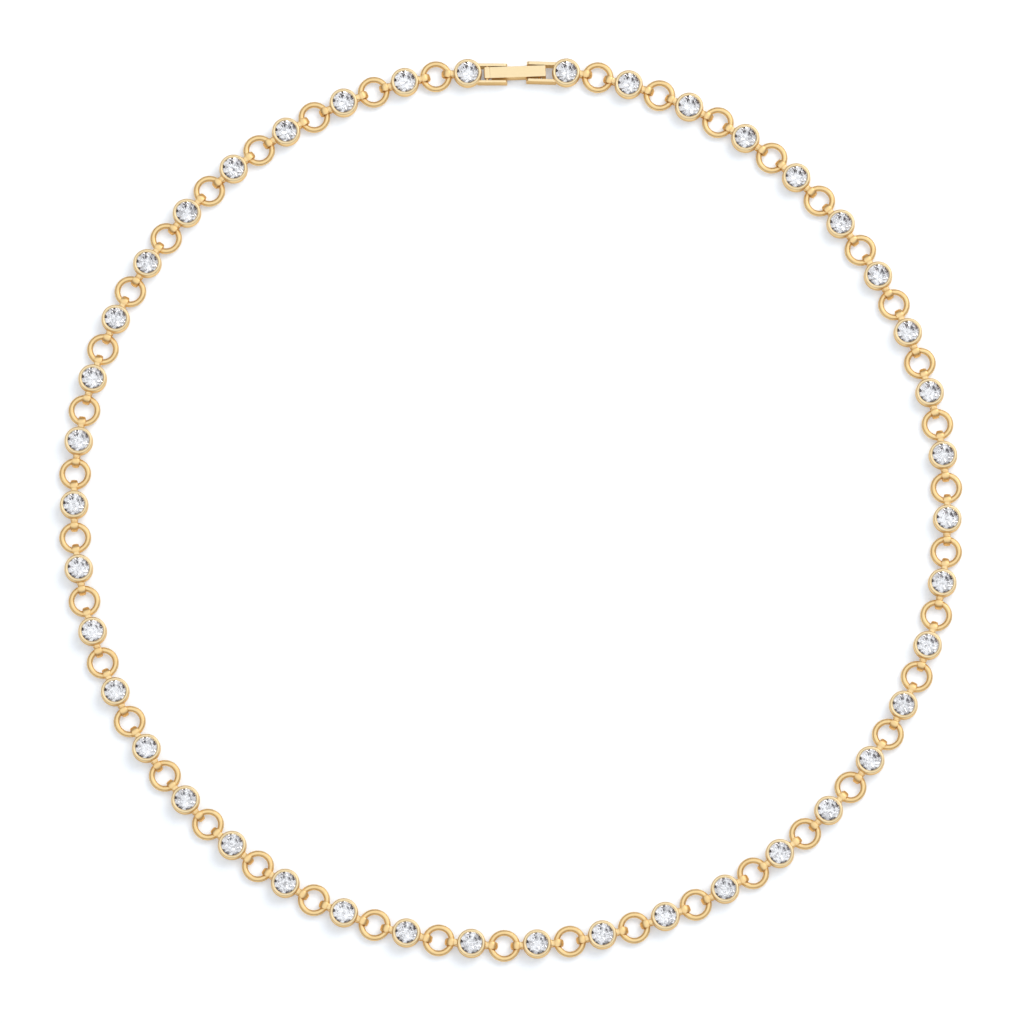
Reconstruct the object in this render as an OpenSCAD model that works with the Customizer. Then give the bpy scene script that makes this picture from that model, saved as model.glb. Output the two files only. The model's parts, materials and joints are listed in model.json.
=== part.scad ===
// Riviere necklace: round stones in bezel settings, joined by jump rings and closed by a fold-over clasp.
// It lies closed on a flat surface. +Z is up and +Y runs from the middle of the loop towards the clasp.
// The origin is on that surface, at the middle of the loop. Sizes are in millimetres and angles in degrees.

/* [Loop] */
// Length of the whole loop, through the middle of every setting
loop_length = 410; // [408:1:416]
// Number of settings round the loop, the two on the clasp among them
setting_count = 42; // [42:1:43]
// How much longer than its mean radius the loop lies along its long axis
loop_stretch = 0.76; // [0:0.02:2]
// How far that long axis leans to the left of the clasp
loop_lean = 5; // [0:1:15]
// How far the loop bulges at the clasp and on its two lower sides
loop_pear = 0.15; // [0:0.01:1]
// How far the loop squares off into four soft corners
loop_square = 0.16; // [0:0.01:1]
// How far the four soft corners are turned clockwise
loop_square_turn = 22.5; // [0:0.5:45]
// How far the clasp has slid clockwise round the loop
clasp_offset = 0.94; // [0:0.02:3]
// How far the hinge end of the clasp lies inside the loop's outline
hinge_end_drop = 0.36; // [0:0.02:0.4]
// How far its catch end lies inside that outline
catch_end_drop = 0.14; // [0:0.02:0.3]
// How much closer to the clasp the chain starts and ends, where the clasp's straight ends bend it
end_slack = 0.14; // [0.1:0.01:0.16]

/* [Stones] */
// Diameter of a stone at its girdle
stone_d = 3.5; // [3.5:0.01:3.52]
// Diameter of the table, as a share of the stone's diameter
table_share = 0.57; // [0.53:0.01:0.6]
// Angle of the eight main crown facets
crown_angle = 34.5; // [33:0.5:35]
// Angle of the eight main pavilion facets
pavilion_angle = 40.8; // [39:0.2:42]
// Height of the girdle band
girdle_h = 0.08; // [0.05:0.01:0.1]
// Gap kept between a stone and its metal seat
stone_gap = 0.03; // [0.02:0.01:0.04]

/* [Settings] */
// Outer diameter of a bezel
bezel_d = 4.25; // [4.2:0.01:4.4]
// Height of a bezel from the surface to the crest of its rim
bezel_h = 2.6; // [2.6:0.01:2.7]
// Diameter of the opening that the rim leaves over the stone
lip_d = 3.26; // [3.24:0.01:3.3]
// Radius of the rounded rim
rim_r = 0.3; // [0.28:0.01:0.32]
// Radius of the rounded side of the cup
cup_r = 1.5; // [1.45:0.01:1.55]
// Height at which the cup is widest
belly_z = 1.4; // [1.35:0.01:1.45]
// Diameter of the hole in the back of the cup
back_hole_d = 1.7; // [1.5:0.05:1.8]

/* [Jump rings] */
// Outer diameter of a jump ring
ring_d = 4.71; // [4.65:0.01:4.75]
// Thickness of its wire
ring_wire = 0.87; // [0.8:0.01:0.88]
// Height of the middle of the wire above the surface
ring_z = 0.96; // [0.92:0.01:1]

/* [Eyelets] */
// Radius of the hole that the jump ring passes through
eyelet_hole_r = 0.62; // [0.6:0.01:0.64]
// Thickness of the band round the hole
eyelet_band = 0.34; // [0.3:0.01:0.36]
// Width of the band across the chain
eyelet_w = 1.18; // [1:0.02:1.2]
// Radius of the short neck that joins an eyelet to its bezel
neck_r = 0.46; // [0.4:0.01:0.5]

/* [Clasp] */
// Distance between the middles of the two settings on the clasp
clasp_span = 14.78; // [14.7:0.02:14.82]
// Width of the channel between the two side bars of an end
channel_w = 2.24; // [2.2:0.02:2.3]
// Thickness of a side bar
bar_t = 0.42; // [0.34:0.02:0.44]
// Height of the top of the side bars
bar_top = 2.15; // [2.1:0.05:2.2]
// Reach of the side bars from the middle of their setting
bar_reach = 5.92; // [5.8:0.02:6]
// Distance of the hinge pin from the middle of its setting
hinge_x = 2.91; // [2.88:0.01:2.95]
// Diameter of the hinge pin
hinge_pin_d = 0.5; // [0.46:0.02:0.52]
// Gap all round between the hinge pin and the lever's bore
hinge_play = 0.04; // [0.03:0.01:0.06]
// Radius of the curled knuckle at the hinge
knuckle_r = 0.48; // [0.46:0.01:0.5]
// Height of the top face of the lever
lever_top = 2.25; // [2.2:0.05:2.3]
// Width of the lever
lever_w = 1.7; // [1.6:0.01:1.72]
// Length of the lever from the back of the knuckle to its tip
lever_l = 9.22; // [9.1:0.01:9.3]
// Distance of the catch pin from the middle of its setting
catch_x = 4; // [3.9:0.05:4.1]
// Diameter of the catch pin
catch_pin_d = 0.5; // [0.46:0.02:0.52]
// Turn of the hinge end about its setting, from the line between the two settings
hinge_end_turn = -0.5; // [-0.8:0.1:0.5]
// Turn of the lever in the play of its hinge, from that line
lever_turn = 1.7; // [1:0.1:1.8]
// Turn of the catch end about its setting, from that line
catch_end_turn = -2.2; // [-3.4:0.1:-1.8]

/* [Hidden] */
// Sides drawn on a circle, and how far a cut runs past the faces that it opens
exact = 64;
cut = 0.5;

// Outline of the loop, as a distance from its middle at each angle counted from the clasp anticlockwise
outline_steps = 1440;
function outline_r(mean_r, a) =
    mean_r
    + loop_stretch * cos(2 * (a - loop_lean))
    + loop_pear * cos(3 * a)
    + loop_square * cos(4 * (a + loop_square_turn));
function outline_point(mean_r, a) = outline_r(mean_r, a) * [-sin(a), cos(a)];
function outline(mean_r) = [for (i = [0 : outline_steps]) outline_point(mean_r, 360 * i / outline_steps)];
function running_length(points) = [
    for (i = 0, total = 0;
         i < len(points);
         i = i + 1, total = total + (i < len(points) ? norm(points[i] - points[i - 1]) : 0))
    total
];
round_r = loop_length / (2 * PI);
first_try = running_length(outline(round_r));
mean_r = round_r * loop_length / first_try[outline_steps];
lengths = running_length(outline(mean_r));
angle_at_length = [for (i = [0 : outline_steps]) [lengths[i], 360 * i / outline_steps]];

// Middles of the settings, from the hinge end of the clasp anticlockwise to its catch end
last = setting_count - 1;
pitch = (loop_length - clasp_span + 2 * end_slack) / last;
function slack_before(k) = (k > 0 ? end_slack : 0) + (k == last ? end_slack : 0);
function station_length(k) = clasp_span / 2 - clasp_offset + k * pitch - slack_before(k);
function on_outline(k) = outline_point(mean_r, lookup(station_length(k), angle_at_length));
function end_drop(k) = k == 0 ? hinge_end_drop : k == last ? catch_end_drop : 0;
drawn_stations = [for (k = [0 : last]) on_outline(k) * (1 - end_drop(k) / mean_r)];
function angle_of(v) = atan2(v[1], v[0]);
clasp_angle = angle_of(drawn_stations[last] - drawn_stations[0]);
function chain_angle(k) =
    k == 0 ? clasp_angle + hinge_end_turn + 180
    : k == last ? clasp_angle + catch_end_turn + 180
    : angle_of(drawn_stations[k + 1] - drawn_stations[k - 1]);
function along(angle, reach) = reach * [cos(angle), sin(angle)];

// An eyelet sits where the wire of a jump ring, which curves through its hole, is centred in it
ring_r = (ring_d - ring_wire) / 2;
hole_half_w = (eyelet_w - eyelet_band) / 2;
wire_bow = ring_r - sqrt(ring_r * ring_r - eyelet_w * eyelet_w / 4);
eyelet_reach = pitch / 2 - ring_r + wire_bow / 2;
eyelet_r = eyelet_hole_r + eyelet_band;
eyelet_lift = 0.01;
eyelet_z = eyelet_r + eyelet_lift;
bezel_r = bezel_d / 2;
neck_root = 0.2;
neck_start = bezel_r - neck_root;
neck_end = eyelet_reach - eyelet_hole_r - eyelet_band / 2;
function eyelet_middle(k, side) = drawn_stations[k] + along(chain_angle(k), side * eyelet_reach);
drawn_rings = [for (k = [0 : last - 1]) (eyelet_middle(k, 1) + eyelet_middle(k + 1, -1)) / 2];

// The drawn loop is moved so that the middle of its box is the origin
function low(axis) = min(
    min([for (p = drawn_stations) p[axis]]) - bezel_d / 2,
    min([for (p = drawn_rings) p[axis]]) - ring_d / 2
);
function high(axis) = max(
    max([for (p = drawn_stations) p[axis]]) + bezel_d / 2,
    max([for (p = drawn_rings) p[axis]]) + ring_d / 2
);
box_middle = [low(0) + high(0), low(1) + high(1)] / 2;
stations = [for (p = drawn_stations) p - box_middle];
rings = [for (p = drawn_rings) p - box_middle];

// Heights in a setting, from the girdle of the stone outwards
stone_r = stone_d / 2;
lip_r = lip_d / 2;
rim_z = bezel_h - rim_r;
girdle_depth = 0.29;
girdle_top = bezel_h - girdle_depth;
girdle_low = girdle_top - girdle_h;
groove_top = girdle_top + 0.02;
lip_under = girdle_top + 0.14;
seat_r = stone_r + stone_gap;
seat_inner_r = 1.35;
seat_low = girdle_low - stone_gap - (seat_r - seat_inner_r) * tan(pavilion_angle);
cone_low = 1.2;

// Corners of a round brilliant, as rings of points about its axis
facet_count = 8;
girdle_count = 2 * facet_count;
half_facet = 180 / facet_count;
star_share = 0.79;
lower_share = 0.22;
table_r = table_share * stone_r;
table_z = girdle_top + (stone_r - table_r) * tan(crown_angle);
star_r = star_share * stone_r;
star_z = girdle_top + (stone_r - star_r * cos(half_facet)) * tan(crown_angle);
lower_r = lower_share * stone_r;
lower_z = girdle_low - (stone_r - lower_r * cos(half_facet)) * tan(pavilion_angle);
culet_z = girdle_low - stone_r * tan(pavilion_angle);
function ring_of(count, r, z, turn) = [
    for (i = [0 : count - 1])
        [r * cos(360 * i / count + turn), r * sin(360 * i / count + turn), z]
];
stone_points = concat(
    ring_of(facet_count, table_r, table_z, 0),
    ring_of(facet_count, star_r, star_z, half_facet),
    ring_of(girdle_count, stone_r, girdle_top, 0),
    ring_of(girdle_count, stone_r, girdle_low, 0),
    ring_of(facet_count, lower_r, lower_z, half_facet),
    [[0, 0, culet_z]]
);
star_start = facet_count;
girdle_start = star_start + facet_count;
under_start = girdle_start + girdle_count;
lower_start = under_start + girdle_count;
culet = lower_start + facet_count;
function table_at(i) = i % facet_count;
function star_at(i) = star_start + (i + facet_count) % facet_count;
function girdle_at(i) = girdle_start + (i + girdle_count) % girdle_count;
function under_at(i) = under_start + (i + girdle_count) % girdle_count;
function lower_at(i) = lower_start + (i + facet_count) % facet_count;
stone_faces = concat(
    [[for (i = [facet_count - 1 : -1 : 0]) table_at(i)]],
    [for (i = [0 : facet_count - 1]) [table_at(i), table_at(i + 1), star_at(i)]],
    [for (i = [0 : facet_count - 1]) [table_at(i), star_at(i), girdle_at(2 * i), star_at(i - 1)]],
    [for (i = [0 : facet_count - 1]) [star_at(i), girdle_at(2 * i + 1), girdle_at(2 * i)]],
    [for (i = [0 : facet_count - 1]) [star_at(i), girdle_at(2 * i + 2), girdle_at(2 * i + 1)]],
    [for (i = [0 : girdle_count - 1]) [girdle_at(i), girdle_at(i + 1), under_at(i + 1), under_at(i)]],
    [for (i = [0 : facet_count - 1]) [under_at(2 * i), under_at(2 * i + 1), lower_at(i)]],
    [for (i = [0 : facet_count - 1]) [under_at(2 * i + 1), under_at(2 * i + 2), lower_at(i)]],
    [for (i = [0 : facet_count - 1]) [under_at(2 * i), lower_at(i), culet, lower_at(i - 1)]]
);

// Heights and lengths in the clasp
bar_low = 0.05;
bar_start = 1.45;
bar_corner_r = 0.45;
hinge_z = lever_top - knuckle_r;
catch_z = 1;
lever_low = 0.3;
lever_roof = 0.4;
lever_wall = 0.3;
lever_tip = lever_l - knuckle_r;
lever_body_start = 0.62;
lever_angle = clasp_angle + lever_turn;
hinge_angle = chain_angle(0) + 180;
hinge_at = stations[0] + along(hinge_angle, hinge_x);
catch_at = stations[last] + along(chain_angle(last), catch_x);
catch_along = (catch_at - hinge_at) * along(lever_angle, 1);
notch_play = 0.12;
notch_r = catch_pin_d / 2 + notch_play;
notch_drift = 0.2;
groove_w = 0.12;
groove_h = 0.08;

function two_digits(k) = str(k < 10 ? "0" : "", k);
function setting_name(k) = str("setting_", two_digits(k + 1));

// Outline of a cup from its axis outwards: a round side that rises into a rounded rim
module cup_outline() {
    intersection() {
        translate([bezel_r - cup_r, belly_z]) circle(cup_r, $fn = exact);
        square([bezel_r, belly_z]);
    }
    square([bezel_r - cup_r, belly_z]);
    translate([0, belly_z]) square([bezel_r, rim_z - belly_z]);
    square([bezel_r - rim_r, bezel_h]);
    translate([bezel_r - rim_r, rim_z]) circle(rim_r, $fn = exact);
}

// Space inside a cup: the opening, the groove for the girdle, the seat and the hole in the back
module cup_space() {
    rotate_extrude($fn = exact)
        polygon([
            [0, -cut],
            [back_hole_d / 2, -cut],
            [back_hole_d / 2, cone_low],
            [seat_inner_r, seat_low],
            [seat_r, girdle_low - stone_gap],
            [seat_r, groove_top],
            [lip_r, lip_under],
            [lip_r, bezel_h + cut],
            [0, bezel_h + cut]
        ]);
}

// One upright eyelet on the side of the cup, with its neck
module eyelet(side) {
    translate([side * eyelet_reach, 0, eyelet_z])
        rotate([90, 0, 0])
            rotate_extrude($fn = exact) {
                translate([eyelet_hole_r, -hole_half_w])
                    square([eyelet_band, 2 * hole_half_w]);
                for (end = [-1, 1])
                    translate([eyelet_hole_r + eyelet_band / 2, end * hole_half_w])
                        circle(eyelet_band / 2, $fn = exact);
            }
    translate([side * neck_start, 0, eyelet_z])
        rotate([0, side * 90, 0])
            cylinder(r = neck_r, h = neck_end - neck_start, $fn = exact);
}

// Turns a side view upright and gives it a width, centred on the middle of the clasp
module upright(width) {
    translate([0, width / 2, 0])
        rotate([90, 0, 0])
            linear_extrude(width)
                children();
}

// Side view of one side bar of the clasp, with its far upper corner rounded
module bar_outline() {
    translate([bar_start, bar_low])
        square([bar_reach - bar_start, bar_top - bar_corner_r - bar_low]);
    translate([bar_start, bar_low])
        square([bar_reach - bar_corner_r - bar_start, bar_top - bar_low]);
    translate([bar_reach - bar_corner_r, bar_top - bar_corner_r])
        circle(bar_corner_r, $fn = exact);
}

// Two side bars and the pin between them
module clasp_fork(pin_x, pin_z, pin_d) {
    for (side = [-1, 1])
        translate([0, side * (channel_w + bar_t) / 2, 0])
            upright(bar_t) bar_outline();
    translate([pin_x, 0, pin_z])
        rotate([90, 0, 0])
            cylinder(d = pin_d, h = channel_w + bar_t, center = true, $fn = exact);
}

// Cup with an eyelet on each side named in sides, and whatever else is soldered to it
module setting(sides) {
    color("gold")
        difference() {
            union() {
                rotate_extrude($fn = exact) cup_outline();
                for (side = sides) eyelet(side);
                children();
            }
            cup_space();
        }
}

// Stands its children on the loop at setting k, with +X along the chain
module at_station(k, turn = 0) {
    translate([stations[k][0], stations[k][1], 0])
        rotate([0, 0, chain_angle(k) + turn])
            children();
}

module chain_setting(k) {
    at_station(k) setting([-1, 1]);
}

module clasp_hinge_end() {
    at_station(0, 180) setting([-1]) clasp_fork(hinge_x, hinge_z, hinge_pin_d);
}

module clasp_catch_end() {
    at_station(last) setting([-1]) clasp_fork(catch_x, catch_z, catch_pin_d);
}

// Side view of the lever from its hinge outwards: knuckle, roof, walls, notch for the catch pin and groove
module lever_outline() {
    floor_z = lever_low - hinge_z;
    notch_z = catch_z - hinge_z;
    difference() {
        union() {
            circle(knuckle_r, $fn = exact);
            translate([0, knuckle_r - lever_roof])
                square([lever_tip, lever_roof]);
            translate([lever_body_start, floor_z])
                square([lever_tip - lever_body_start, knuckle_r - floor_z]);
        }
        translate([catch_along, notch_z])
            circle(notch_r, $fn = exact);
        translate([catch_along, notch_z])
            polygon([
                [-notch_r, 0],
                [notch_r, 0],
                [notch_r, floor_z - notch_z - cut],
                [-notch_r - notch_drift, floor_z - notch_z - cut]
            ]);
        translate([knuckle_r - groove_w / 2, knuckle_r - groove_h])
            square([groove_w, cut]);
    }
}

// Space under the roof of the lever, between its side walls
module lever_space() {
    translate([lever_body_start + lever_wall, lever_wall - lever_w / 2, lever_low - hinge_z - cut])
        cube([
            lever_tip - lever_body_start - 2 * lever_wall,
            lever_w - 2 * lever_wall,
            lever_top - lever_roof - lever_low + cut
        ]);
}

module clasp_lever() {
    bore_d = hinge_pin_d + 2 * hinge_play;
    color("gold")
        translate([hinge_at[0], hinge_at[1], hinge_z])
            difference() {
                rotate([0, 0, lever_angle])
                    difference() {
                        upright(lever_w) lever_outline();
                        lever_space();
                    }
                rotate([0, 0, hinge_angle])
                    rotate([90, 0, 0])
                        cylinder(d = bore_d, h = 2 * lever_w, center = true, $fn = exact);
            }
}

module stones() {
    color("white")
        for (p = stations)
            translate([p[0], p[1], 0])
                polyhedron(stone_points, stone_faces);
}

module jump_rings() {
    color("gold")
        for (p = rings)
            translate([p[0], p[1], ring_z])
                rotate_extrude($fn = exact)
                    translate([ring_r, 0])
                        circle(d = ring_wire, $fn = exact);
}

for (k = [1 : last - 1])
    chain_setting(k);
clasp_hinge_end();
clasp_catch_end();
clasp_lever();
stones();
jump_rings();
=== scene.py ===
"""Looks of the riviere necklace: round stones, bezel settings, jump rings and the fold-over clasp.

The necklace lies closed on a pale floor, in satin, burnished and brushed gold. Shapes are drawn in
millimetres and turned into metres at the end."""

import json
import math

import bmesh
import bpy
import numpy as np
from bpy.props import FloatProperty, FloatVectorProperty, IntProperty, PointerProperty
from mathutils import Matrix, Vector


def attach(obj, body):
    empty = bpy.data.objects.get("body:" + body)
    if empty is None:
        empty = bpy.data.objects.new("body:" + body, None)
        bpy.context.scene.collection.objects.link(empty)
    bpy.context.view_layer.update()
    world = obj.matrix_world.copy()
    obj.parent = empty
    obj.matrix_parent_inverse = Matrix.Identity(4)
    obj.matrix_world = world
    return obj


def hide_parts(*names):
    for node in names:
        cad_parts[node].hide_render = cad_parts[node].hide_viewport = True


bl_info = {
    "name": "Riviere necklace",
    "version": (1, 0, 0),
    "blender": (4, 5, 0),
    "location": "3D View > Sidebar > Necklace",
    "description": "Builds the stones, settings, jump rings and clasp of a riviere necklace",
    "category": "Add Mesh",
}

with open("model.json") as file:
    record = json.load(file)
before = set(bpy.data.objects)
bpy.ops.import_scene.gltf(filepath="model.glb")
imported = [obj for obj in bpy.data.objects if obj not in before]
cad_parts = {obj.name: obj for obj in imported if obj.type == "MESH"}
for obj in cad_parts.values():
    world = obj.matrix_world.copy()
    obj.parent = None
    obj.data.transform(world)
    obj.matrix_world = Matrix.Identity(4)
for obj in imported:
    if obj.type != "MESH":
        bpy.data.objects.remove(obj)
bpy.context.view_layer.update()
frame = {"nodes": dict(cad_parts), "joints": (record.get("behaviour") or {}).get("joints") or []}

MM = 0.001
# An edge that bends by more than this stays sharp
SHARP = math.radians(38)
# Gap between a stone and its metal, in millimetres
STONE_GAP = 0.03


# Where things are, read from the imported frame


def node_points(node):
    """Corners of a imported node, in millimetres."""
    mesh = frame["nodes"][node].data
    points = np.zeros(len(mesh.vertices) * 3)
    mesh.vertices.foreach_get("co", points)
    return points.reshape(-1, 3) / MM


def stone_middles():
    """Middles of the stones in plan, from the hinge end of the clasp anticlockwise to its catch end."""
    points = node_points("stones")
    same_height = 0.01
    culets = points[points[:, 2] < points[:, 2].min() + same_height]
    middles = np.unique(culets[:, :2].round(3), axis=0)
    turn = np.degrees(np.arctan2(-middles[:, 0], middles[:, 1])) % 360
    return middles[np.argsort(turn)]


def ring_middles(stones):
    """Middle of the jump ring between each stone and the next."""
    points = node_points("jump_rings")
    within = 3.5
    middles = []
    for here, there in zip(stones[:-1], stones[1:]):
        away = np.linalg.norm(points[:, :2] - (here + there) / 2, axis=1)
        ring = points[away < within]
        middles.append((ring.min(0) + ring.max(0)) / 2)
    return np.array(middles)


def heading(step):
    """Angle of a step in plan."""
    return math.atan2(step[1], step[0])


STONES = stone_middles()
RINGS = ring_middles(STONES)
CLASP_LINE = heading(STONES[-1] - STONES[0])
HINGE = next(j for j in frame["joints"] if j["name"] == "lever_hinge")
HINGE_TURN = math.atan2(HINGE["axis"][0], -HINGE["axis"][1])
HINGE_HEIGHT = HINGE["pos_m"][2] / MM


# Sizes and colours that a user may change


def size(name, description, millimetres):
    return FloatProperty(
        name=name, description=description, default=millimetres * MM, min=0, precision=5, unit="LENGTH"
    )


def share(name, description, default):
    return FloatProperty(
        name=name, description=description, default=default, min=0, max=1, subtype="FACTOR"
    )


def colour(name, description, default):
    return FloatVectorProperty(
        name=name, description=description, default=default, min=0, max=1, subtype="COLOR"
    )


class CupSizes(bpy.types.PropertyGroup):
    width: size("Cup width", "Widest diameter of a bezel cup", 4.25)
    height: size("Cup height", "Height of the rim's crest above the surface", 2.6)
    side_radius: size("Side radius", "Radius of the cup's rounded side", 1.5)
    belly_height: size("Belly height", "Height at which the cup is widest", 1.4)
    rim_radius: size("Rim radius", "Radius of the rounded rim", 0.27)
    lean: size("Lean", "How far the rim lies inside the widest part of the cup", 0.05)
    lip_width: size("Lip width", "Diameter of the opening over the stone", 3.17)
    back_hole: size("Back hole", "Diameter of the hole in the back of the cup", 1.7)
    sides: IntProperty(name="Cup sides", description="Faces round a cup", default=56, min=24, max=96)


class EyeletSizes(bpy.types.PropertyGroup):
    reach: size("Reach", "Distance of an eyelet from the middle of its cup", 2.94962)
    height: size("Height", "Height of the middle of an eyelet", 0.97)
    hole_radius: size("Hole radius", "Radius of the hole for the jump ring", 0.62)
    band: size("Band", "Thickness of the band round the hole", 0.34)
    width: size("Width", "Greatest width of the band, at its crown", 1.18)
    waist: size("Waist", "Width of the band where it leaves the cup", 0.84)
    tip: size("Tip", "Width of the band at its far side", 0.94)
    neck_low: size("Neck underside", "Height of the underside of the neck", 0.62)


class RingSizes(bpy.types.PropertyGroup):
    diameter: size("Ring diameter", "Outer diameter of a jump ring", 4.71)
    wire: size("Wire", "Thickness of the wire", 0.87)
    sides: IntProperty(name="Ring sides", description="Faces round a jump ring", default=72, min=24, max=96)
    wire_sides: IntProperty(
        name="Wire sides", description="Faces round the wire", default=22, min=10, max=32
    )


class StoneSizes(bpy.types.PropertyGroup):
    diameter: size("Stone diameter", "Diameter at the girdle", 3.5)
    girdle: size("Girdle", "Height of the girdle band", 0.08)
    girdle_depth: size("Girdle depth", "Depth of the girdle below the rim's crest", 0.29)
    table: share("Table", "Width of the table, as a share of the stone", 0.57)
    crown_angle: FloatProperty(
        name="Crown angle", description="Slope of the main crown facets",
        default=math.radians(34.5), subtype="ANGLE"
    )
    pavilion_angle: FloatProperty(
        name="Pavilion angle", description="Slope of the main pavilion facets",
        default=math.radians(43.6), subtype="ANGLE"
    )


class ClaspSizes(bpy.types.PropertyGroup):
    channel: size("Channel", "Width between the two side bars", 2.24)
    hinge_bar: size("Hinge bar", "Thickness of a side bar of the hinge end", 0.33)
    catch_bar: size("Catch bar", "Thickness of a side bar of the catch end", 0.4)
    thicker: size("Thicker bar", "How much thicker the bar outside the loop is, on its inner face", 0.1)
    bar_top: size("Bar top", "Height of the side bars", 2.15)
    bar_reach: size("Bar reach", "Reach of the side bars from the middle of their cup", 5.92)
    bar_corner: size("Bar corner", "Radius of the free upper corner of a side bar", 0.45)
    hinge_from_cup: size("Hinge place", "Distance of the hinge pin from its cup", 2.91)
    catch_from_cup: size("Catch place", "Distance of the catch pin from its cup", 4.0)
    catch_height: size("Catch height", "Height of the catch pin", 1.0)
    pin: size("Pin", "Diameter of the hinge pin and the catch pin", 0.5)
    play: size("Play", "Gap between the hinge pin and its bore", 0.04)
    knuckle: size("Knuckle", "Radius of the lever's curled end", 0.48)
    lever_width: size("Lever width", "Width of the lever", 1.7)
    lever_length: size("Lever length", "Length of the lever from its curled end to its tip", 9.22)
    lever_depth: size("Lever depth", "Height of the lever's side walls", 1.95)
    lever_turn: FloatProperty(
        name="Lever turn", description="Turn of the lever from the line between the two clasp cups",
        default=math.radians(1.7), subtype="ANGLE"
    )
    catch_turn: FloatProperty(
        name="Catch end turn", description="Turn of the catch end from that line",
        default=math.radians(-2.2), subtype="ANGLE"
    )


class GoldLook(bpy.types.PropertyGroup):
    tone: colour("Gold", "Pale satin gold", (0.95, 0.67, 0.32))
    deep_tone: colour("Deep gold", "Gold in the soft clouds of the satin surface", (0.90, 0.58, 0.25))
    edge_tone: colour("Edge", "Tint of the light that grazes the surface", (0.34, 0.19, 0.06))
    rubbed_tone: colour("Rubbed gold", "Paler gold of the burnished cups and clasp", (0.97, 0.755, 0.44))
    rubbed_deep_tone: colour("Deep rubbed gold", "Soft clouds of the burnished gold", (0.94, 0.69, 0.37))
    brushed_tone: colour("Brushed gold", "Gold of the clasp's lever and side bars", (0.96, 0.74, 0.43))
    brushed_deep_tone: colour("Deep brushed gold", "Gold in the brush marks of the clasp", (0.91, 0.68, 0.37))
    rubbed_edge_tone: colour(
        "Rubbed edge", "Tint of the light that grazes burnished gold", (0.72, 0.50, 0.27)
    )
    roughness: share("Satin", "Roughness of the satin surface", 0.34)


class StoneLook(bpy.types.PropertyGroup):
    # Painted reflections: the two colours between which the backing facets are painted bright or dark
    bright: colour("Bright facet", "Light thrown back by a bright facet", (1.0, 0.985, 0.975))
    dark: colour("Dark facet", "Light thrown back by a dark facet", (0.06, 0.045, 0.05))


class StageLook(bpy.types.PropertyGroup):
    floor: colour("Floor", "Colour of the floor", (0.80, 0.81, 0.825))
    sky_strength: FloatProperty(
        name="Sky strength", description="Strength of the light all round", default=1.2, min=0
    )
    sky: colour("Sky", "Light from straight above", (0.87, 0.93, 1.0))
    horizon: colour("Horizon", "Light from the sides", (0.20, 0.155, 0.12))
    key: FloatProperty(name="Key light", description="Power of the key light", default=4.6, min=0)
    sheen: FloatProperty(
        name="Sheen light", description="Power of the soft light for highlights", default=2.1, min=0
    )
    glow: share("Floor glow", "Light that the floor gives off, as on a light table", 0.27)
    distance: FloatProperty(
        name="Camera distance", description="Distance of the camera from the necklace",
        default=1.3758, unit="LENGTH"
    )
    tilt: FloatProperty(
        name="Camera height angle", description="Angle of the view above the floor",
        default=math.radians(78.82), subtype="ANGLE"
    )
    lens: FloatProperty(name="Lens", description="Focal length in millimetres", default=327.02)


# Painted reflections: how much darker each lower girdle facet and each main pavilion facet is painted,
# standing in for the dark specks a cut stone throws back, from +X anticlockwise
LOWER_PAINTED_SPARKLE = (0.1, 1.0, 0.4, 0.0, 0.4, 0.1, 0.0, 1.0, 0.1, 1.0, 1.0, 0.1, 1.0, 0.8, 0.0, 0.3)
MAIN_PAINTED_SPARKLE = (0.05, 0.15, 0.1, 0.05, 0.1, 0.35, 0.2, 0.1)


# Meshes, drawn in millimetres


def make_object(name, points, faces):
    mesh = bpy.data.meshes.new(name)
    mesh.from_pydata([tuple(p) for p in points], [], faces)
    mesh.validate()
    shape = bpy.data.objects.new(name, mesh)
    bpy.context.scene.collection.objects.link(shape)
    return shape


def face_outwards(shape):
    """Merges doubled corners and turns every face outwards."""
    bm = bmesh.new()
    bm.from_mesh(shape.data)
    bmesh.ops.remove_doubles(bm, verts=bm.verts, dist=1e-5)
    bmesh.ops.recalc_face_normals(bm, faces=bm.faces)
    bm.to_mesh(shape.data)
    bm.free()
    return shape


def bridge(sections, closed_round, capped):
    """Faces between rings of points that have the same number of points."""
    count, across = len(sections), len(sections[0])
    points = [p for section in sections for p in section]
    faces = []
    for i in range(count if closed_round else count - 1):
        here, there = i * across, (i + 1) % count * across
        for j in range(across):
            k = (j + 1) % across
            faces.append((here + j, here + k, there + k, there + j))
    if capped:
        faces.append(tuple(range(across)))
        faces.append(tuple(reversed(range((count - 1) * across, count * across))))
    return points, faces


def revolve(name, profile, sides):
    """Turns a closed profile of (radius, height) once round the upright axis."""
    sections = []
    for i in range(sides):
        turn = math.tau * i / sides
        sections.append([(r * math.cos(turn), r * math.sin(turn), z) for r, z in profile])
    return face_outwards(make_object(name, *bridge(sections, True, False)))


def arc(middle, radius, start, end, steps):
    """Points on an arc in a profile, with its angles in degrees."""
    return [
        (middle[0] + radius * math.cos(math.radians(a)), middle[1] + radius * math.sin(math.radians(a)))
        for a in np.linspace(start, end, steps)
    ]


def extrude(name, outline, width, soften):
    """Turns a side view of (length, height) upright, gives it a width and softens its edges."""
    sections = [[(x, y, z) for x, z in outline] for y in (-width / 2, width / 2)]
    shape = face_outwards(make_object(name, *bridge(sections, False, True)))
    bm = bmesh.new()
    bm.from_mesh(shape.data)
    edges = [e for e in bm.edges if e.is_manifold and e.calc_face_angle() > SHARP]
    bmesh.ops.bevel(
        bm, geom=edges, offset=soften, segments=2, profile=0.5, affect="EDGES", clamp_overlap=True
    )
    bm.to_mesh(shape.data)
    bm.free()
    return shape


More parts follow.
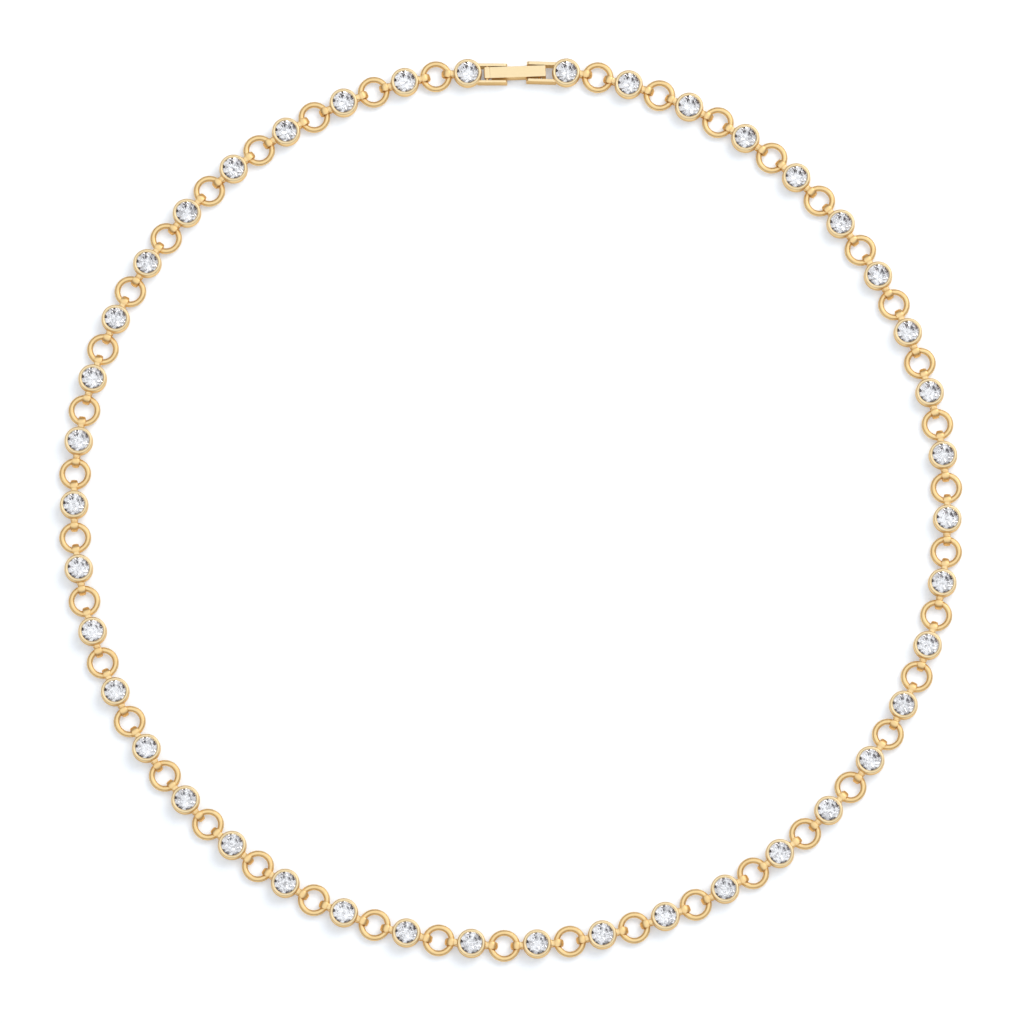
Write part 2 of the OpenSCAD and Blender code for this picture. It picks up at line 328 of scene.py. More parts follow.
def rod(name, diameter, length, sides=32):
    """A round pin across the clasp, at the origin."""
    outline = arc((0, 0), diameter / 2, 0, 360 * (1 - 1 / sides), sides)
    sections = [[(x, y, z) for x, z in outline] for y in (-length / 2, length / 2)]
    return face_outwards(make_object(name, *bridge(sections, False, True)))


def block(name, low, high):
    """A plain box, for cutting a hollow."""
    outline = [(low[0], low[2]), (high[0], low[2]), (high[0], high[2]), (low[0], high[2])]
    sections = [[(x, y, z) for x, z in outline] for y in (low[1], high[1])]
    return face_outwards(make_object(name, *bridge(sections, False, True)))


def place(shape, turn=0.0, at=(0, 0, 0)):
    """Turns a shape about the upright axis and moves it, in its mesh."""
    shape.data.transform(Matrix.Translation(Vector(at)) @ Matrix.Rotation(turn, 4, "Z"))
    return shape


def evaluated(shape):
    """Plain mesh of a shape with its modifiers, which are then removed."""
    graph = bpy.context.evaluated_depsgraph_get()
    mesh = bpy.data.meshes.new_from_object(shape.evaluated_get(graph))
    shape.modifiers.clear()
    shape.data = mesh
    return shape


def combine(shape, others, operation):
    """Joins other shapes to a shape, or cuts them out of it."""
    for other in others:
        cut = shape.modifiers.new("combine", "BOOLEAN")
        cut.operation = operation
        cut.solver = "EXACT"
        cut.object = other
        evaluated(shape)
        bpy.data.objects.remove(other)
    return shape


def finish_piece(shape, name, material, body, replaced):
    """Gives a finished shape its name, size in metres, material and place in the model."""
    shape.data.transform(Matrix.Scale(MM, 4))
    shape.name = shape.data.name = name
    shape.data.materials.clear()
    shape.data.materials.append(material)
    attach(shape, body)
    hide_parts(*replaced)
    return shape


def smooth(shape, broad_faces=False):
    """Smooth shading that keeps the sharp edges, and keeps broad flat faces flat where it is asked to."""
    shape.data.shade_smooth()
    shape.data.set_sharp_from_angle(angle=SHARP)
    if broad_faces:
        weighted = shape.modifiers.new("broad_faces", "WEIGHTED_NORMAL")
        weighted.keep_sharp = True
        evaluated(shape)
    return shape


def mark(shape, finish, amount):
    """Marks the faces of a shape with how burnished or brushed they are."""
    marks = shape.data.attributes.new(finish, "FLOAT", "FACE")
    marks.data.foreach_set("value", [amount] * len(shape.data.polygons))
    return shape


# Shapes of the pieces


def mm(length):
    """A length in metres, in millimetres."""
    return length / MM


def along(turn):
    """A step of one millimetre in plan at an angle."""
    return Vector((math.cos(turn), math.sin(turn)))


def catch_heading(sizes):
    """Angle in plan from the cup of the catch end towards its pin."""
    return CLASP_LINE + sizes.catch_turn + math.pi


def fuller(value, power):
    """A sine or cosine pushed outwards, which makes a round section squarer."""
    return math.copysign(abs(value) ** power, value)


def cup(scene):
    """A bezel cup: flat foot, rounded side, rounded rim, burnished lip, seat and hole in the back."""
    sizes, stone = scene.cup_sizes, scene.stone_sizes
    outer, crest, side = mm(sizes.width) / 2, mm(sizes.height), mm(sizes.side_radius)
    belly, rim, lean = mm(sizes.belly_height), mm(sizes.rim_radius), mm(sizes.lean)
    lip, hole = mm(sizes.lip_width) / 2, mm(sizes.back_hole) / 2
    girdle = crest - mm(stone.girdle_depth)
    stone_r = mm(stone.diameter) / 2
    over_stone = girdle + (stone_r - lip) * math.tan(stone.crown_angle)
    foot = -math.degrees(math.asin(belly / side))
    lip_roll = ((0.17, 0.02), (0.09, 0.05), (0.03, 0.09))
    lip_gap, groove_depth, seat_r, seat_depth, hole_top, foot_bevel = 0.02, 0.11, 1.35, 0.48, 1.2, 0.06
    profile = arc((outer - side, belly), side, foot, 0, 9)
    profile += arc((outer - lean - rim, crest - rim), rim, 8, 100, 9)
    profile += [(lip + out, crest - down) for out, down in lip_roll]
    profile += [
        (lip, over_stone + lip_gap),
        (stone_r + STONE_GAP, girdle + STONE_GAP),
        (stone_r + STONE_GAP, girdle - groove_depth),
        (seat_r, girdle - seat_depth),
        (hole, hole_top),
        (hole, foot_bevel),
        (hole + foot_bevel, 0),
    ]
    return mark(revolve("cup", profile, sizes.sides), "burnish", 1.0)


def eyelet(scene, side):
    """An upright eyelet with a domed crown, which narrows to a waist at the cup and a tip at its far side."""
    sizes = scene.eyelet_sizes
    band = mm(sizes.band) / 2
    middle_r = mm(sizes.hole_radius) + band
    reach, height = mm(sizes.reach), mm(sizes.height)
    waist, crown, tip = mm(sizes.waist) / 2, mm(sizes.width) / 2, mm(sizes.tip) / 2
    rounding = 0.8
    # Half the band's width at angles from its far side over its crown to the cup
    angles = np.radians([0, 25, 52, 80, 105, 126, 148, 180])
    widths = [tip, tip + 0.03, crown - 0.05, crown, crown - 0.05, waist, waist + 0.1, waist + 0.16]
    sections = []
    for turn in np.linspace(0, math.tau, 26, endpoint=False):
        half = np.interp(min(turn, math.tau - turn), angles, widths)
        section = []
        for lean in np.linspace(0, math.tau, 12, endpoint=False):
            out = middle_r + band * fuller(math.cos(lean), rounding)
            across = half * fuller(math.sin(lean), rounding)
            section.append(
                (side * (reach + out * math.cos(turn)), across, height + out * math.sin(turn))
            )
        sections.append(section)
    return face_outwards(make_object("eyelet", *bridge(sections, True, False)))


def neck(scene, side):
    """The short soldered neck between a cup and its eyelet."""
    sizes = scene.eyelet_sizes
    low, hole = mm(sizes.neck_low), mm(sizes.reach) - mm(sizes.hole_radius)
    rounding = 0.6
    sections = []
    for x, half, under, top in (
        (1.8, 0.64, low, 1.96), (2.08, 0.56, low, 1.86), (hole - 0.14, 0.5, low + 0.1, 1.82),
        (hole, 0.47, 1.35, 1.82), (hole + 0.22, 0.45, 1.56, 1.86),
    ):
        middle, reach = (top + under) / 2, (top - under) / 2
        section = []
        for turn in np.linspace(0, math.tau, 24, endpoint=False):
            across = half * fuller(math.cos(turn), rounding)
            section.append((side * x, across, middle + reach * fuller(math.sin(turn), rounding)))
        sections.append(section)
    return mark(face_outwards(make_object("neck", *bridge(sections, False, True))), "burnish", 0.3)


def setting(scene, sides):
    """A cup with an eyelet on each side named."""
    others = []
    for side in sides:
        others += [neck(scene, side), eyelet(scene, side)]
    return combine(cup(scene), others, "UNION")


def side_bar(scene, side, thickness, inward):
    """One side bar of a clasp end, with its free upper corner rounded and its inner face moved inward."""
    sizes = scene.clasp_sizes
    start, reach, low, top = 1.45, mm(sizes.bar_reach), 0.05, mm(sizes.bar_top)
    corner = mm(sizes.bar_corner)
    outline = [(start, low), (reach, low)]
    outline += arc((reach - corner, top - corner), corner, 0, 90, 9)
    outline += [(start, top)]
    bar = extrude("side_bar", outline, thickness + inward, soften=0.05)
    across = side * (mm(sizes.channel) + thickness - inward) / 2
    return place(mark(bar, "brushed", 1.0), at=(0, across, 0))


def clasp_end(scene, bar, pin_x, pin_z, outside):
    """A cup with one eyelet, two side bars and the pin between them. The bar outside the loop is thicker."""
    sizes = scene.clasp_sizes
    end = setting(scene, [-1])
    pin = place(rod("pin", mm(sizes.pin), mm(sizes.channel) + bar), at=(pin_x, 0, pin_z))
    thin_bar = side_bar(scene, -outside, bar, 0)
    thick_bar = side_bar(scene, outside, bar, mm(sizes.thicker))
    return combine(end, [thin_bar, thick_bar, pin], "UNION")


def lever(scene):
    """The hollow lever, drawn with its hinge at the origin and its tip along +X, then put in its place."""
    sizes = scene.clasp_sizes
    knuckle, length, width = mm(sizes.knuckle), mm(sizes.lever_length), mm(sizes.lever_width)
    tip, floor = length - knuckle, knuckle - mm(sizes.lever_depth)
    roof, wall, body, through = 0.4, 0.3, 0.62, 1
    heel_corner, tip_corner, groove_at, groove = 0.2, 0.12, 0.34, 0.07
    notch_gap, notch_mouth = 0.12, 0.12
    hinge_at = Vector(HINGE["pos_m"]).xy / MM
    catch = Vector(STONES[-1]) + mm(sizes.catch_from_cup) * along(catch_heading(sizes))
    lever_turn = CLASP_LINE + sizes.lever_turn
    notch_x = (catch - hinge_at).dot(along(lever_turn))
    notch_z = mm(sizes.catch_height) - HINGE_HEIGHT
    notch = mm(sizes.pin) / 2 + notch_gap
    under = knuckle - roof
    meet = math.degrees(math.asin(under / knuckle))
    heel = knuckle - heel_corner
    outline = arc((-heel, heel), heel_corner, 90, 180, 7)
    outline += arc((0, 0), knuckle, 180, 360 + meet, 19)
    outline += [(body, under), (body, floor), (notch_x - notch - notch_mouth, floor)]
    outline += arc((notch_x, notch_z), notch, 180, 0, 13)
    outline += [(notch_x + notch, floor), (tip, floor)]
    outline += arc((tip - tip_corner, knuckle - tip_corner), tip_corner, 0, 90, 4)
    outline += [(groove_at + groove, knuckle), (groove_at, knuckle - groove), (groove_at - groove, knuckle)]
    shape = extrude("clasp_lever", outline, width, soften=0.07)
    hollow = block(
        "hollow",
        (body + wall, wall - width / 2, floor - through),
        (tip - wall, width / 2 - wall, knuckle - roof),
    )
    combine(shape, [hollow], "DIFFERENCE")
    place(shape, lever_turn)
    bore = place(rod("bore", mm(sizes.pin + 2 * sizes.play), 2 * width), HINGE_TURN)
    combine(shape, [bore], "DIFFERENCE")
    return place(mark(shape, "brushed", 1.0), at=(*hinge_at, HINGE_HEIGHT))


def brilliant(scene):
    """A round brilliant with its facets, and marks for backing, painted sparkle (how much darker each backing
    facet is painted, a painted reflection) and the distance from its middle.
    """
    sizes = scene.stone_sizes
    radius = mm(sizes.diameter) / 2
    top = mm(scene.cup_sizes.height) - mm(sizes.girdle_depth)
    low = top - mm(sizes.girdle)
    up, down = math.tan(sizes.crown_angle), math.tan(sizes.pavilion_angle)
    star_share, lower_share = 0.79, 0.22
    table, star, lower = sizes.table * radius, star_share * radius, lower_share * radius
    half = math.tau / 16

    def ring(count, r, z, turn):
        return [
            (r * math.cos(math.tau * i / count + turn), r * math.sin(math.tau * i / count + turn), z)
            for i in range(count)
        ]

    points = ring(8, table, top + (radius - table) * up, 0)
    points += ring(8, star, top + (radius - star * math.cos(half)) * up, half)
    points += ring(16, radius, top, 0)
    points += ring(16, radius, low, 0)
    points += ring(8, lower, low - (radius - lower * math.cos(half)) * down, half)
    points.append((0, 0, low - radius * down))
    tables, stars = list(range(8)), list(range(8, 16))
    girdle, under, lowers, culet = list(range(16, 32)), list(range(32, 48)), list(range(48, 56)), 56
    faces = [tuple(tables)]
    for i in range(8):
        j, left, right = (i + 1) % 8, 2 * i + 1, (2 * i + 2) % 16
        faces.append((tables[i], stars[i], tables[j]))
        faces.append((tables[i], stars[i - 1], girdle[2 * i], stars[i]))
        faces.append((stars[i], girdle[2 * i], girdle[left]))
        faces.append((stars[i], girdle[left], girdle[right]))
        faces.append((under[2 * i], lowers[i], under[left]))
        faces.append((under[left], lowers[i], under[right]))
        faces.append((under[2 * i], lowers[i - 1], culet, lowers[i]))
    for i in range(16):
        j = (i + 1) % 16
        faces.append((girdle[i], under[i], under[j], girdle[j]))
    shape = face_outwards(make_object("brilliant", points, faces))
    backing = shape.data.attributes.new("backing", "FLOAT", "FACE")
    sparkle = shape.data.attributes.new("sparkle", "FLOAT", "FACE")
    rim = shape.data.attributes.new("rim", "FLOAT", "POINT")
    for corner in shape.data.vertices:
        rim.data[corner.index].value = corner.co.xy.length / radius
    # Painted reflections: each backing facet gets its painted darkness from the sparkle tables
    lower_step, main_step = 360 / len(LOWER_PAINTED_SPARKLE), 360 / len(MAIN_PAINTED_SPARKLE)
    for face in shape.data.polygons:
        if face.center.z > low:
            continue
        backing.data[face.index].value = 1.0
        turn = math.degrees(math.atan2(face.center.y, face.center.x)) % 360
        if len(face.vertices) == 3:
            sparkle.data[face.index].value = LOWER_PAINTED_SPARKLE[int(turn // lower_step)]
        else:
            sparkle.data[face.index].value = MAIN_PAINTED_SPARKLE[round(turn / main_step) % len(MAIN_PAINTED_SPARKLE)]
    return shape


# Geometry Nodes that repeat a shape along the necklace


def new_tree(name, inputs):
    """An empty geometry tree with a geometry input and output and the named inputs."""
    tree = bpy.data.node_groups.new(name, "GeometryNodeTree")
    tree.interface.new_socket("Geometry", in_out="INPUT", socket_type="NodeSocketGeometry")
    for label, kind in inputs:
        tree.interface.new_socket(label, in_out="INPUT", socket_type=kind)
    tree.interface.new_socket("Geometry", in_out="OUTPUT", socket_type="NodeSocketGeometry")
    return tree


def add_node(tree, kind, settings=None, **links):
    """Adds a node, sets its options, then its sockets by name: a socket is linked and a value is set."""
    node = tree.nodes.new(kind)
    for key, value in (settings or {}).items():
        setattr(node, key, value)
    for key, value in links.items():
        target = node.inputs[key.replace("_", " ")]
        if isinstance(value, bpy.types.NodeSocket):
            tree.links.new(value, target)
        else:
            target.default_value = value
    return node


def repeat_tree(name, inputs, make_shape):
    """A tree that stands a shape on every point, turned by the point's heading."""
    tree = new_tree(name, inputs + [("Material", "NodeSocketMaterial")])
    entry = tree.nodes.new("NodeGroupInput")
    turn = add_node(tree, "GeometryNodeInputNamedAttribute", {"data_type": "FLOAT"}, Name="heading")
    euler = add_node(tree, "ShaderNodeCombineXYZ", Z=turn.outputs["Attribute"])
    stand = add_node(
        tree, "GeometryNodeInstanceOnPoints",
        Points=entry.outputs["Geometry"], Instance=make_shape(tree, entry), Rotation=euler.outputs[0],
    )
    real = add_node(tree, "GeometryNodeRealizeInstances", Geometry=stand.outputs["Instances"])
    paint = add_node(
        tree, "GeometryNodeSetMaterial",
        Geometry=real.outputs["Geometry"], Material=entry.outputs["Material"],
    )
    end = tree.nodes.new("NodeGroupOutput")
    tree.links.new(paint.outputs["Geometry"], end.inputs["Geometry"])
    return tree


def given_shape(tree, entry):
    """The shape object that is passed in."""
    return add_node(tree, "GeometryNodeObjectInfo", Object=entry.outputs["Shape"]).outputs["Geometry"]


def wire_ring(tree, entry):
    """A closed ring of round wire from its diameter and the wire's thickness."""
    def half_of(first, second):
        less = add_node(tree, "ShaderNodeMath", {"operation": "SUBTRACT"})
        for socket, value in zip(less.inputs, (first, second)):
            if isinstance(value, bpy.types.NodeSocket):
                tree.links.new(value, socket)
            else:
                socket.default_value = value
        half = add_node(tree, "ShaderNodeMath", {"operation": "MULTIPLY"})
        tree.links.new(less.outputs[0], half.inputs[0])
        half.inputs[1].default_value = 0.5
        return half.outputs[0]

    middle = add_node(
        tree, "GeometryNodeCurvePrimitiveCircle",
        Resolution=entry.outputs["Ring sides"],
        Radius=half_of(entry.outputs["Ring diameter"], entry.outputs["Wire"]),
    )
    section = add_node(
        tree, "GeometryNodeCurvePrimitiveCircle",
        Resolution=entry.outputs["Wire sides"], Radius=half_of(entry.outputs["Wire"], 0.0),
    )
    ring = add_node(
        tree, "GeometryNodeCurveToMesh",
        Curve=middle.outputs["Curve"], Profile_Curve=section.outputs["Curve"],
    )
    return ring.outputs["Mesh"]


def repeat(name, tree, places, values):
    """Runs a repeating tree on points of (x, y, z, heading) and returns its plain mesh as an object."""
    shape = make_object(name, [p[:3] for p in places], [])
    headings = shape.data.attributes.new("heading", "FLOAT", "POINT")
    headings.data.foreach_set("value", [p[3] for p in places])
    modifier = shape.modifiers.new(name, "NODES")
    modifier.node_group = tree
    for item in tree.interface.items_tree:
        if item.in_out == "INPUT" and item.name in values:
            modifier[item.identifier] = values[item.name]
    return evaluated(shape)


# Materials


class Wire:
    """One output of a material's nodes, which can be used in sums like a number."""

    def __init__(self, tree, socket=None):
        self.tree = tree
        self.socket = socket

    def node(self, kind, settings=None, sockets=None, output=0):
        """Adds a node with its settings, ramp stops and socket values or links, and returns one output."""
        made = self.tree.nodes.new(kind)
        for key, value in (settings or {}).items():
            if key == "stops":
                ramp = made.color_ramp.elements
                while len(ramp) < len(value):
                    ramp.new(0.5)
                for element, (position, tone) in zip(ramp, value):
                    element.position = position
                    element.color = (tone, tone, tone, 1) if isinstance(tone, float) else (*tone, 1)
            else:
                setattr(made, key, value)
        for key, value in (sockets or {}).items():
            if isinstance(value, Wire):
                self.tree.links.new(value.socket, made.inputs[key])
            else:
                made.inputs[key].default_value = value
        return Wire(self.tree, made.outputs[output])

    def attribute(self, name):
        """Value of one of the piece's own attributes."""
        return self.node("ShaderNodeAttribute", {"attribute_name": name}, output="Fac")

    def calculate(self, operation, first, second):
        return self.node("ShaderNodeMath", {"operation": operation}, {0: first, 1: second})

    def __add__(self, other):
        return self.calculate("ADD", self, other)

    def __radd__(self, other):
        return self.calculate("ADD", other, self)

    def __sub__(self, other):
        return self.calculate("SUBTRACT", self, other)

    def __rsub__(self, other):
        return self.calculate("SUBTRACT", other, self)

    def __mul__(self, other):
        return self.calculate("MULTIPLY", self, other)

    def __rmul__(self, other):
        return self.calculate("MULTIPLY", other, self)

    def __truediv__(self, other):
        return self.calculate("DIVIDE", self, other)

    def __rtruediv__(self, other):
        return self.calculate("DIVIDE", other, self)

    def mix(self, first, second):
        """Colour that goes from first to second as this value goes from 0 to 1."""
        return self.node(
            "ShaderNodeMix", {"data_type": "RGBA", "clamp_factor": True},
            {"Factor": self, 6: first, 7: second}, output=2,
        )


def new_material(name):
    """An empty node material, and the wire that adds its nodes."""
    material = bpy.data.materials.new(name)
    material.use_nodes = True
    material.node_tree.nodes.clear()
    return material, Wire(material.node_tree)


def show(material, shader):
    """Ends a material in its shader."""
    end = material.node_tree.nodes.new("ShaderNodeOutputMaterial")
    material.node_tree.links.new(shader.socket, end.inputs["Surface"])
    return material


def in_millimetres(wire):
    """Place on the piece in millimetres."""
    spot = wire.node("ShaderNodeTexCoord", output="Object")
    return wire.node("ShaderNodeVectorMath", {"operation": "SCALE"}, {0: spot, "Scale": 1 / MM})


def gold(scene, rubbed):
    """Gold with soft clouds of tone, a fine grain and short brush marks.

    It is paler where a piece is burnished or brushed. The rubbed one, for the settings and the clasp, also
    has lighter edges than the satin one of the jump rings.
    """
    name = "burnished_gold" if rubbed else "satin_gold"
    if name in bpy.data.materials:
        return bpy.data.materials[name]
    look = scene.gold_look
    edge = look.rubbed_edge_tone if rubbed else look.edge_tone
    material, wire = new_material(name)
    spot = in_millimetres(wire)
    cloud = wire.node("ShaderNodeTexNoise", None, {"Vector": spot, "Scale": 0.55, "Detail": 3.0})
    grain = wire.node("ShaderNodeTexNoise", None, {"Vector": spot, "Scale": 14.0, "Detail": 2.0})
    slant = wire.node(
        "ShaderNodeMapping", None,
        {"Vector": spot, "Rotation": (0.3, 0.2, 0.9), "Scale": (1.2, 16.0, 16.0)},
    )
    marks = wire.node("ShaderNodeTexNoise", None, {"Vector": slant, "Scale": 1.0, "Detail": 2.0})
    cloud_start, cloud_contrast, marks_start, marks_contrast = 0.35, 1.2, 0.4, 1.6
    middle, cloud_roughness, marks_roughness = 0.5, 0.12, 0.10
    grain_relief, marks_relief = 0.6, 0.4
    clouds = (cloud - cloud_start) * cloud_contrast
    satin_tone = clouds.mix((*look.tone, 1), (*look.deep_tone, 1))
    rubbed_tone = clouds.mix((*look.rubbed_tone, 1), (*look.rubbed_deep_tone, 1))
    burnish, brushed = wire.attribute("burnish"), wire.attribute("brushed")
    brush_marks = (marks - marks_start) * marks_contrast
    brushed_tone = brush_marks.mix((*look.brushed_tone, 1), (*look.brushed_deep_tone, 1))
    tone = brushed.mix(burnish.mix(satin_tone, rubbed_tone), brushed_tone)
    roughness = look.roughness + (cloud - middle) * cloud_roughness + (marks - middle) * marks_roughness
    relief = grain * grain_relief + marks * marks_relief
    bump = wire.node(
        "ShaderNodeBump", None, {"Height": relief, "Strength": 0.25, "Distance": 0.02 * MM}
    )
    shader = wire.node(
        "ShaderNodeBsdfPrincipled", None,
        {"Base Color": tone, "Roughness": roughness, "Metallic": 1.0, "Normal": bump,
         "Specular Tint": (*edge, 1)},
    )
    return show(material, shader)


def clear_stone(scene):
    """Clear stone, whose backing facets throw the light back like mirrors.

    Facets marked with painted sparkle are painted darker towards the rim, and painted grey glints lie towards
    the middle: painted reflections that stand in for the dark specks a cut stone throws back.
    """
    look = scene.stone_look
    material, wire = new_material("clear_stone")
    backing, sparkle, rim = (wire.attribute(name) for name in ("backing", "sparkle", "rim"))
    # Painted reflections: grey Voronoi glints and darker marked facets towards the rim paint the dark specks
    # into the backing's colour
    painted_glints = wire.node(
        "ShaderNodeTexVoronoi", None, {"Vector": in_millimetres(wire), "Scale": 2.6}, output="Color"
    )
    painted_sparkle_start, painted_sparkle_strength, painted_glint_start, painted_glint_strength = 0.42, 3.6, 0.5, 1.6
    painted_grey_glints = wire.calculate("MAXIMUM", painted_glints - painted_glint_start, 0.0)
    inwards = rim * -painted_glint_strength + painted_glint_strength
    painted_facet_shade = sparkle * (rim - painted_sparkle_start) * painted_sparkle_strength + painted_grey_glints * inwards
    # Painted reflection: the backing's colour goes from bright to dark by the painted shade
    tone = painted_facet_shade.mix((*look.bright, 1), (*look.dark, 1))
    shader = wire.node(
        "ShaderNodeBsdfPrincipled", None,
        {
            "Base Color": tone, "Metallic": backing, "Roughness": backing * 0.02, "IOR": 1.6,
            "Transmission Weight": 1.0,
        },
    )
    return show(material, shader)


def pale_floor(scene):
    """The dull pale floor, which gives off a little cool light."""
    look = scene.stage_look
    glow_tone = (0.81, 0.90, 1.0)
    material, wire = new_material("pale_floor")
    shader = wire.node(
        "ShaderNodeBsdfPrincipled", None,
        {"Base Color": (*look.floor, 1), "Roughness": 0.9, "Specular IOR Level": 0.1,
         "Emission Color": (*glow_tone, 1), "Emission Strength": look.glow},
    )
    return show(material, shader)


# The stage


def lay_floor(scene):
    reach = 6.0
    corners = [(-reach, -reach, 0), (reach, -reach, 0), (reach, reach, 0), (-reach, reach, 0)]
    floor = make_object("floor", corners, [(0, 1, 2, 3)])
    floor.data.materials.append(pale_floor(scene))


def light_sky(scene):
    """Light from all round, bright above and darker towards the sides."""
    look = scene.stage_look
    sky_start, sky_contrast = 0.35, 2.0
    world = bpy.data.worlds.new("studio")
    world.use_nodes = True
    sky = world.node_tree.nodes["Background"]
    wire = Wire(world.node_tree)
    aim_up = wire.node("ShaderNodeTexCoord", output="Generated")
    up = wire.node("ShaderNodeSeparateXYZ", None, {"Vector": aim_up}, output="Z")
    tone = ((up - sky_start) * sky_contrast).mix((*look.horizon, 1), (*look.sky, 1))
    world.node_tree.links.new(tone.socket, sky.inputs["Color"])
    sky.inputs["Strength"].default_value = look.sky_strength
    scene.world = world


def hang_lamps(scene):
    """A key light, which casts the shadows, and a soft light that shows only in the highlights."""
    look = scene.stage_look
    for name, at, width, power in (
        ("key_light", (0.42, 0.40, 0.80), 0.7, look.key),
        ("sheen_light", (0.60, 0.57, 0.56), 0.95, look.sheen),
    ):
        lamp = bpy.data.lights.new(name, "AREA")
        lamp.shape = "DISK"
        lamp.size = width
        lamp.energy = power
        lamp.color = (1.0, 0.99, 0.97)
        lit = bpy.data.objects.new(name, lamp)
        lit.location = at
        lit.rotation_euler = (-Vector(at)).to_track_quat("-Z", "Y").to_euler()
        lit.visible_glossy = name != "key_light"
        lit.visible_diffuse = name == "key_light"
        scene.collection.objects.link(lit)


def stand_camera(scene):
    """The photo's view: from far off, a little in front of straight above."""
    look = scene.stage_look
    camera = bpy.data.objects.new("camera", bpy.data.cameras.new("camera"))
    camera.data.lens = look.lens
    camera.data.sensor_width = 36
    camera.data.clip_start = 0.01
    camera.data.clip_end = 50
    aim = Vector((0.197, -0.604, 0)) * MM
    away = Vector((0, -math.cos(look.tilt), math.sin(look.tilt)))
    camera.location = aim + look.distance * away
    camera.rotation_euler = (-away).to_track_quat("-Z", "Y").to_euler()
    scene.collection.objects.link(camera)
    scene.camera = camera


# Operators


class NECKLACE_OT_settings(bpy.types.Operator):
    """Builds the forty settings of the chain"""

    bl_idname = "necklace.settings"
    bl_label = "Settings"

    def execute(self, context):
        scene = context.scene
        shape = smooth(setting(scene, [-1, 1]))
        tree = repeat_tree("settings_round_the_loop", [("Shape", "NodeSocketObject")], given_shape)
        places = [
            (*STONES[k], 0, heading(STONES[k + 1] - STONES[k - 1])) for k in range(1, len(STONES) - 1)
        ]
        piece = repeat("settings", tree, places, {"Shape": shape, "Material": gold(scene, True)})
        bpy.data.objects.remove(shape)
        nodes = sorted(n for n in frame["nodes"] if n.startswith("setting_"))
        finish_piece(piece, "settings", gold(scene, True), "necklace", nodes)
        return {"FINISHED"}


class NECKLACE_OT_stones(bpy.types.Operator):
    """Builds the round brilliants"""

    bl_idname = "necklace.stones"
    bl_label = "Stones"

    def execute(self, context):
        scene = context.scene
        shape = brilliant(scene)
        tree = repeat_tree("stones_round_the_loop", [("Shape", "NodeSocketObject")], given_shape)
        material = clear_stone(scene)
        piece = repeat("stones", tree, [(*p, 0, 0) for p in STONES], {"Shape": shape, "Material": material})
        bpy.data.objects.remove(shape)
        finish_piece(piece, "brilliants", material, "necklace", ["stones"])
        return {"FINISHED"}


class NECKLACE_OT_jump_rings(bpy.types.Operator):
    """Builds the jump rings"""

    bl_idname = "necklace.jump_rings"
    bl_label = "Jump rings"

    def execute(self, context):
        scene = context.scene
        sizes = scene.ring_sizes
        inputs = [
            ("Ring diameter", "NodeSocketFloat"), ("Wire", "NodeSocketFloat"),
            ("Ring sides", "NodeSocketInt"), ("Wire sides", "NodeSocketInt"),
        ]
        tree = repeat_tree("rings_round_the_loop", inputs, wire_ring)
        values = {
            "Ring diameter": mm(sizes.diameter), "Wire": mm(sizes.wire),
            "Ring sides": sizes.sides, "Wire sides": sizes.wire_sides, "Material": gold(scene, False),
        }
        piece = repeat("rings", tree, [(*p, 0) for p in RINGS], values)
        smooth(face_outwards(piece))
        finish_piece(piece, "wire_rings", gold(scene, False), "necklace", ["jump_rings"])
        return {"FINISHED"}


class NECKLACE_OT_clasp_ends(bpy.types.Operator):
    """Builds the two forked ends of the clasp"""

    bl_idname = "necklace.clasp_ends"
    bl_label = "Clasp ends"

    def execute(self, context):
        scene = context.scene
        sizes = scene.clasp_sizes
        hinge_end = clasp_end(scene, mm(sizes.hinge_bar), mm(sizes.hinge_from_cup), HINGE_HEIGHT, 1)
        place(smooth(hinge_end, True), HINGE_TURN, (*STONES[0], 0))
        finish_piece(hinge_end, "hinge_end", gold(scene, True), "necklace", ["clasp_hinge_end"])
        catch_x, catch_z = mm(sizes.catch_from_cup), mm(sizes.catch_height)
        catch_end = clasp_end(scene, mm(sizes.catch_bar), catch_x, catch_z, -1)
        place(smooth(catch_end, True), catch_heading(sizes), (*STONES[-1], 0))
        finish_piece(catch_end, "catch_end", gold(scene, True), "necklace", ["clasp_catch_end"])
        return {"FINISHED"}


class NECKLACE_OT_lever(bpy.types.Operator):
    """Builds the hinged lever of the clasp"""

    bl_idname = "necklace.lever"
    bl_label = "Clasp lever"

    def execute(self, context):
        scene = context.scene
        piece = smooth(lever(scene), True)
        finish_piece(piece, "fold_over_lever", gold(scene, True), "lever", ["clasp_lever"])
        return {"FINISHED"}


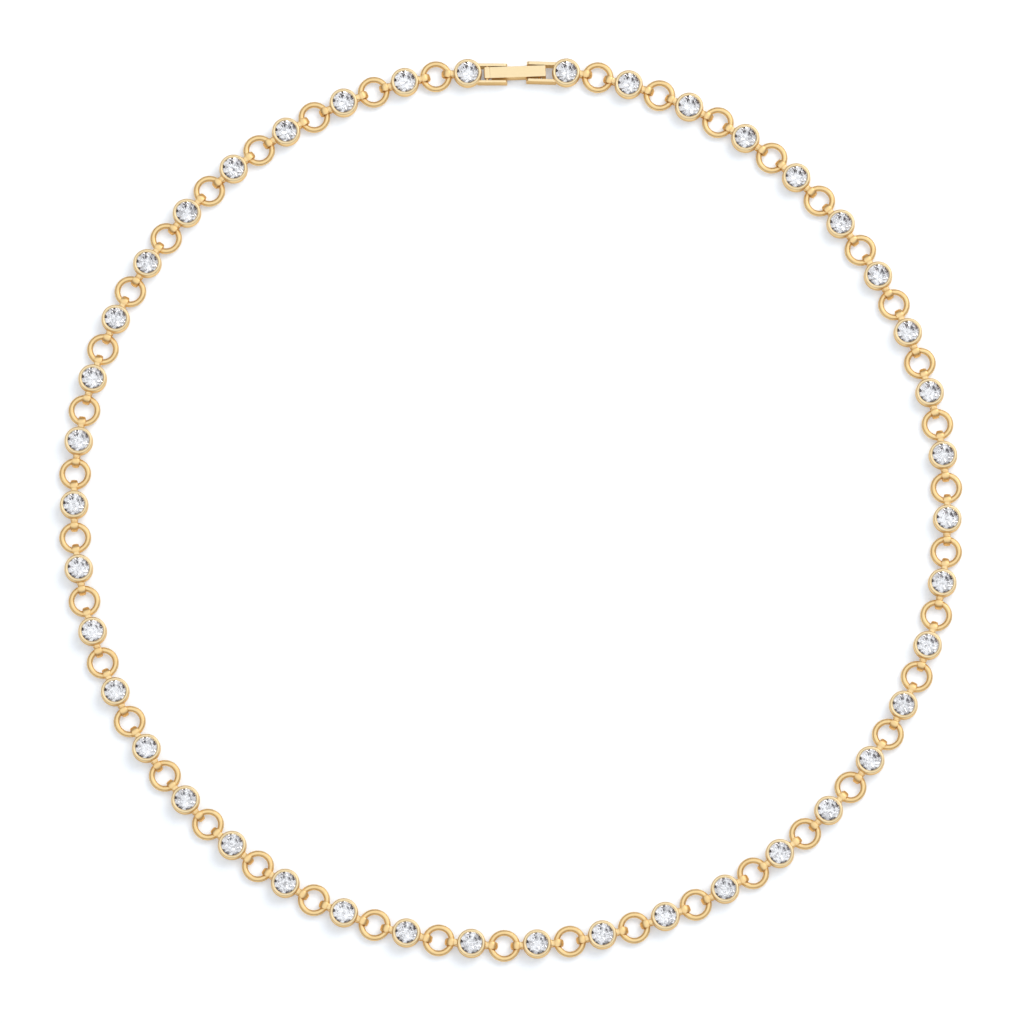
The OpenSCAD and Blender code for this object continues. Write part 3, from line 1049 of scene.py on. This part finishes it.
class NECKLACE_OT_stage(bpy.types.Operator):
    """Builds the pale floor, the lights and the camera"""

    bl_idname = "necklace.stage"
    bl_label = "Stage"

    def execute(self, context):
        scene = context.scene
        lay_floor(scene)
        light_sky(scene)
        hang_lamps(scene)
        stand_camera(scene)
        scene.view_settings.view_transform = "Standard"
        return {"FINISHED"}


class NECKLACE_PT_panel(bpy.types.Panel):
    """Lists the pieces of the necklace and their sizes"""

    bl_idname = "NECKLACE_PT_panel"
    bl_label = "Riviere necklace"
    bl_space_type = "VIEW_3D"
    bl_region_type = "UI"
    bl_category = "Necklace"

    def draw(self, context):
        for operator in OPERATORS:
            self.layout.operator(operator.bl_idname)
        for attribute, group in GROUPS.items():
            box = self.layout.box()
            box.label(text=attribute.replace("_", " ").capitalize())
            for key in group.__annotations__:
                box.prop(getattr(context.scene, attribute), key)


GROUPS = {
    "cup_sizes": CupSizes,
    "eyelet_sizes": EyeletSizes,
    "ring_sizes": RingSizes,
    "stone_sizes": StoneSizes,
    "clasp_sizes": ClaspSizes,
    "gold_look": GoldLook,
    "stone_look": StoneLook,
    "stage_look": StageLook,
}
OPERATORS = (
    NECKLACE_OT_stage,
    NECKLACE_OT_settings,
    NECKLACE_OT_stones,
    NECKLACE_OT_jump_rings,
    NECKLACE_OT_clasp_ends,
    NECKLACE_OT_lever,
)


def register():
    for group in GROUPS.values():
        bpy.utils.register_class(group)
    for attribute, group in GROUPS.items():
        setattr(bpy.types.Scene, attribute, PointerProperty(type=group))
    for operator in OPERATORS:
        bpy.utils.register_class(operator)
    bpy.utils.register_class(NECKLACE_PT_panel)


def unregister():
    bpy.utils.unregister_class(NECKLACE_PT_panel)
    for operator in reversed(OPERATORS):
        bpy.utils.unregister_class(operator)
    for attribute in GROUPS:
        delattr(bpy.types.Scene, attribute)
    for group in reversed(list(GROUPS.values())):
        bpy.utils.unregister_class(group)


def main():
    """Registers the add-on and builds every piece."""
    register()
    bpy.ops.necklace.stage()
    bpy.ops.necklace.settings()
    bpy.ops.necklace.stones()
    bpy.ops.necklace.jump_rings()
    bpy.ops.necklace.clasp_ends()
    bpy.ops.necklace.lever()


if __name__ == "__main__":
    main()
